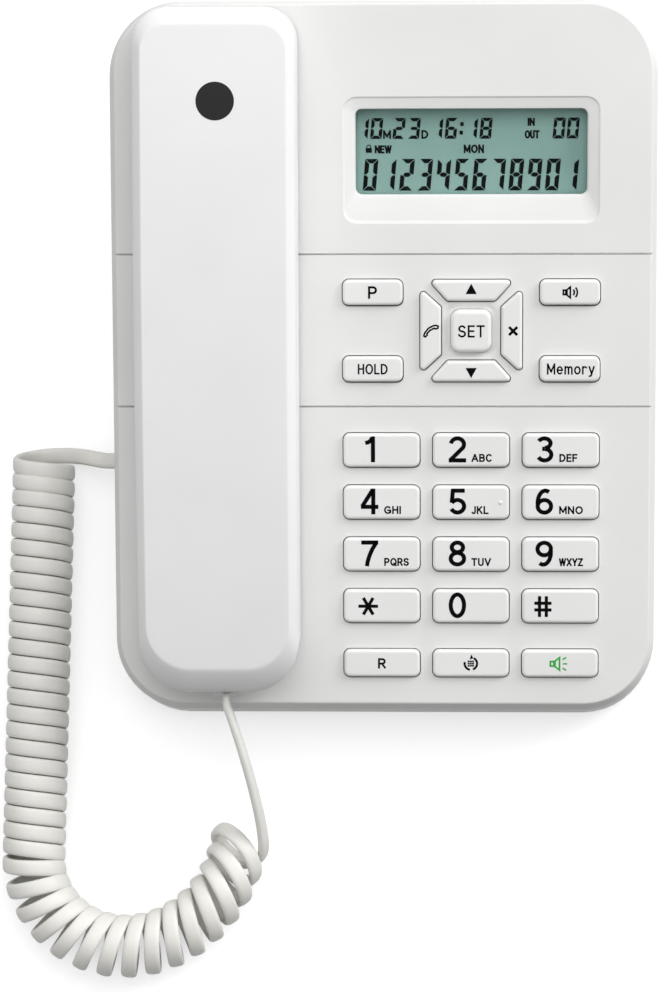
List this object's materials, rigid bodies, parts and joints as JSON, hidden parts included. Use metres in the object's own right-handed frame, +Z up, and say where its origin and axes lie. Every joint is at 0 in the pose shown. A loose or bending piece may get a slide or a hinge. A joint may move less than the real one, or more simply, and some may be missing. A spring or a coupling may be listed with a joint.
{
  "type": "corded desk telephone",
  "caption": "Corded desk phone: a wedge-shaped base with push keys and a display, a handset lying in its cradle and a curly cord between them.",
  "frame": {"origin": "on the table, under the middle of the base", "axes": "+X to the right as the keys are read, +Y to the rear, +Z up"},
  "size_m": [0.1859, 0.2727, 0.0836],
  "materials": {
    "shell_white": "fine satin moulding",
    "handset_white": "fine satin moulding",
    "key_white": "satin with printed legends",
    "window_clear": "clear window",
    "lcd_teal": "reflective segment display",
    "inner_plastic": "plain moulding",
    "board_green": "printed board",
    "mat_rubber": "silicone",
    "dark_plastic": "plain moulding",
    "speaker_dark": "painted",
    "cell_jacket": "printed sleeve",
    "steel": "plain",
    "foot_rubber": "matt",
    "cord_white": "smooth vinyl",
    "plug_clear": "clear moulding"
  },
  "bodies": {
    "base": {"top_shell": "shell_white", "bottom_shell": "shell_white", "display_window": "window_clear", "lcd_panel": "lcd_teal", "lcd_holder": "inner_plastic", "main_board": "board_green", "keypad_mat": "mat_rubber", "hook_spring": "steel", "hook_switch": "dark_plastic", "loudspeaker": "speaker_dark", "line_jack": "dark_plastic", "base_cord_jack": "dark_plastic", "battery_cells": "cell_jacket", "battery_contacts": "steel", "rubber_feet": "foot_rubber", "base_screws": "steel", "board_screws": "steel", "display_screws": "steel", "curly_cord": "cord_white", "base_plug": "plug_clear"},
    "handset": {"handset_back": "handset_white", "handset_front": "handset_white", "earpiece": "dark_plastic", "microphone": "steel", "microphone_boot": "foot_rubber", "handset_weight": "steel", "handset_cord_jack": "dark_plastic", "handset_screws": "steel", "handset_plug": "plug_clear"},
    "hook": {"hook_plunger": "key_white"},
    "door": {"battery_door": "shell_white"},
    "key_1": {"key_1": "key_white"},
    "key_2": {"key_2": "key_white"},
    "key_3": {"key_3": "key_white"},
    "key_4": {"key_4": "key_white"},
    "key_5": {"key_5": "key_white"},
    "key_6": {"key_6": "key_white"},
    "key_7": {"key_7": "key_white"},
    "key_8": {"key_8": "key_white"},
    "key_9": {"key_9": "key_white"},
    "key_star": {"key_star": "key_white"},
    "key_0": {"key_0": "key_white"},
    "key_hash": {"key_hash": "key_white"},
    "key_recall": {"key_recall": "key_white"},
    "key_redial": {"key_redial": "key_white"},
    "key_speaker": {"key_speaker": "key_white"},
    "key_pause": {"key_pause": "key_white"},
    "key_volume": {"key_volume": "key_white"},
    "key_hold": {"key_hold": "key_white"},
    "key_memory": {"key_memory": "key_white"},
    "key_up": {"key_up": "key_white"},
    "key_answer": {"key_answer": "key_white"},
    "key_down": {"key_down": "key_white"},
    "key_cancel": {"key_cancel": "key_white"},
    "key_set": {"key_set": "key_white"}
  },
  "joints": [
    {"name": "handset_lift", "type": "slide", "parent": "base", "child": "handset", "axis": [0, -0.2079, 0.9781], "range_m": [0, 0.07]},
    {"name": "hook_rise", "type": "slide", "parent": "base", "child": "hook", "axis": [0, -0.2079, 0.9781], "range_m": [0, 0.004]},
    {"name": "door_slide", "type": "slide", "parent": "base", "child": "door", "axis": [0, 1, 0], "range_m": [0, 0.05]},
    {"name": "key_1_press", "type": "slide", "parent": "base", "child": "key_1", "axis": [0, 0.2079, -0.9781], "range_m": [0, 0.001], "stiffness_N_per_m": 300, "springref_m": -0.0006},
    {"name": "key_2_press", "type": "slide", "parent": "base", "child": "key_2", "axis": [0, 0.2079, -0.9781], "range_m": [0, 0.001], "stiffness_N_per_m": 300, "springref_m": -0.0006},
    {"name": "key_3_press", "type": "slide", "parent": "base", "child": "key_3", "axis": [0, 0.2079, -0.9781], "range_m": [0, 0.001], "stiffness_N_per_m": 300, "springref_m": -0.0006},
    {"name": "key_4_press", "type": "slide", "parent": "base", "child": "key_4", "axis": [0, 0.2079, -0.9781], "range_m": [0, 0.001], "stiffness_N_per_m": 300, "springref_m": -0.0006},
    {"name": "key_5_press", "type": "slide", "parent": "base", "child": "key_5", "axis": [0, 0.2079, -0.9781], "range_m": [0, 0.001], "stiffness_N_per_m": 300, "springref_m": -0.0006},
    {"name": "key_6_press", "type": "slide", "parent": "base", "child": "key_6", "axis": [0, 0.2079, -0.9781], "range_m": [0, 0.001], "stiffness_N_per_m": 300, "springref_m": -0.0006},
    {"name": "key_7_press", "type": "slide", "parent": "base", "child": "key_7", "axis": [0, 0.2079, -0.9781], "range_m": [0, 0.001], "stiffness_N_per_m": 300, "springref_m": -0.0006},
    {"name": "key_8_press", "type": "slide", "parent": "base", "child": "key_8", "axis": [0, 0.2079, -0.9781], "range_m": [0, 0.001], "stiffness_N_per_m": 300, "springref_m": -0.0006},
    {"name": "key_9_press", "type": "slide", "parent": "base", "child": "key_9", "axis": [0, 0.2079, -0.9781], "range_m": [0, 0.001], "stiffness_N_per_m": 300, "springref_m": -0.0006},
    {"name": "key_star_press", "type": "slide", "parent": "base", "child": "key_star", "axis": [0, 0.2079, -0.9781], "range_m": [0, 0.001], "stiffness_N_per_m": 300, "springref_m": -0.0006},
    {"name": "key_0_press", "type": "slide", "parent": "base", "child": "key_0", "axis": [0, 0.2079, -0.9781], "range_m": [0, 0.001], "stiffness_N_per_m": 300, "springref_m": -0.0006},
    {"name": "key_hash_press", "type": "slide", "parent": "base", "child": "key_hash", "axis": [0, 0.2079, -0.9781], "range_m": [0, 0.001], "stiffness_N_per_m": 300, "springref_m": -0.0006},
    {"name": "key_recall_press", "type": "slide", "parent": "base", "child": "key_recall", "axis": [0, 0.2079, -0.9781], "range_m": [0, 0.001], "stiffness_N_per_m": 300, "springref_m": -0.0006},
    {"name": "key_redial_press", "type": "slide", "parent": "base", "child": "key_redial", "axis": [0, 0.2079, -0.9781], "range_m": [0, 0.001], "stiffness_N_per_m": 300, "springref_m": -0.0006},
    {"name": "key_speaker_press", "type": "slide", "parent": "base", "child": "key_speaker", "axis": [0, 0.2079, -0.9781], "range_m": [0, 0.001], "stiffness_N_per_m": 300, "springref_m": -0.0006},
    {"name": "key_pause_press", "type": "slide", "parent": "base", "child": "key_pause", "axis": [0, 0.2079, -0.9781], "range_m": [0, 0.001], "stiffness_N_per_m": 300, "springref_m": -0.0006},
    {"name": "key_volume_press", "type": "slide", "parent": "base", "child": "key_volume", "axis": [0, 0.2079, -0.9781], "range_m": [0, 0.001], "stiffness_N_per_m": 300, "springref_m": -0.0006},
    {"name": "key_hold_press", "type": "slide", "parent": "base", "child": "key_hold", "axis": [0, 0.2079, -0.9781], "range_m": [0, 0.001], "stiffness_N_per_m": 300, "springref_m": -0.0006},
    {"name": "key_memory_press", "type": "slide", "parent": "base", "child": "key_memory", "axis": [0, 0.2079, -0.9781], "range_m": [0, 0.001], "stiffness_N_per_m": 300, "springref_m": -0.0006},
    {"name": "key_up_press", "type": "slide", "parent": "base", "child": "key_up", "axis": [0, 0.2079, -0.9781], "range_m": [0, 0.001], "stiffness_N_per_m": 300, "springref_m": -0.0006},
    {"name": "key_answer_press", "type": "slide", "parent": "base", "child": "key_answer", "axis": [0, 0.2079, -0.9781], "range_m": [0, 0.001], "stiffness_N_per_m": 300, "springref_m": -0.0006},
    {"name": "key_down_press", "type": "slide", "parent": "base", "child": "key_down", "axis": [0, 0.2079, -0.9781], "range_m": [0, 0.001], "stiffness_N_per_m": 300, "springref_m": -0.0006},
    {"name": "key_cancel_press", "type": "slide", "parent": "base", "child": "key_cancel", "axis": [0, 0.2079, -0.9781], "range_m": [0, 0.001], "stiffness_N_per_m": 300, "springref_m": -0.0006},
    {"name": "key_set_press", "type": "slide", "parent": "base", "child": "key_set", "axis": [0, 0.2079, -0.9781], "range_m": [0, 0.001], "stiffness_N_per_m": 300, "springref_m": -0.0006}
  ],
  "couplings": [
    {"joint": "hook_rise", "follows": "handset_lift", "ratio": 0.057}
  ]
}
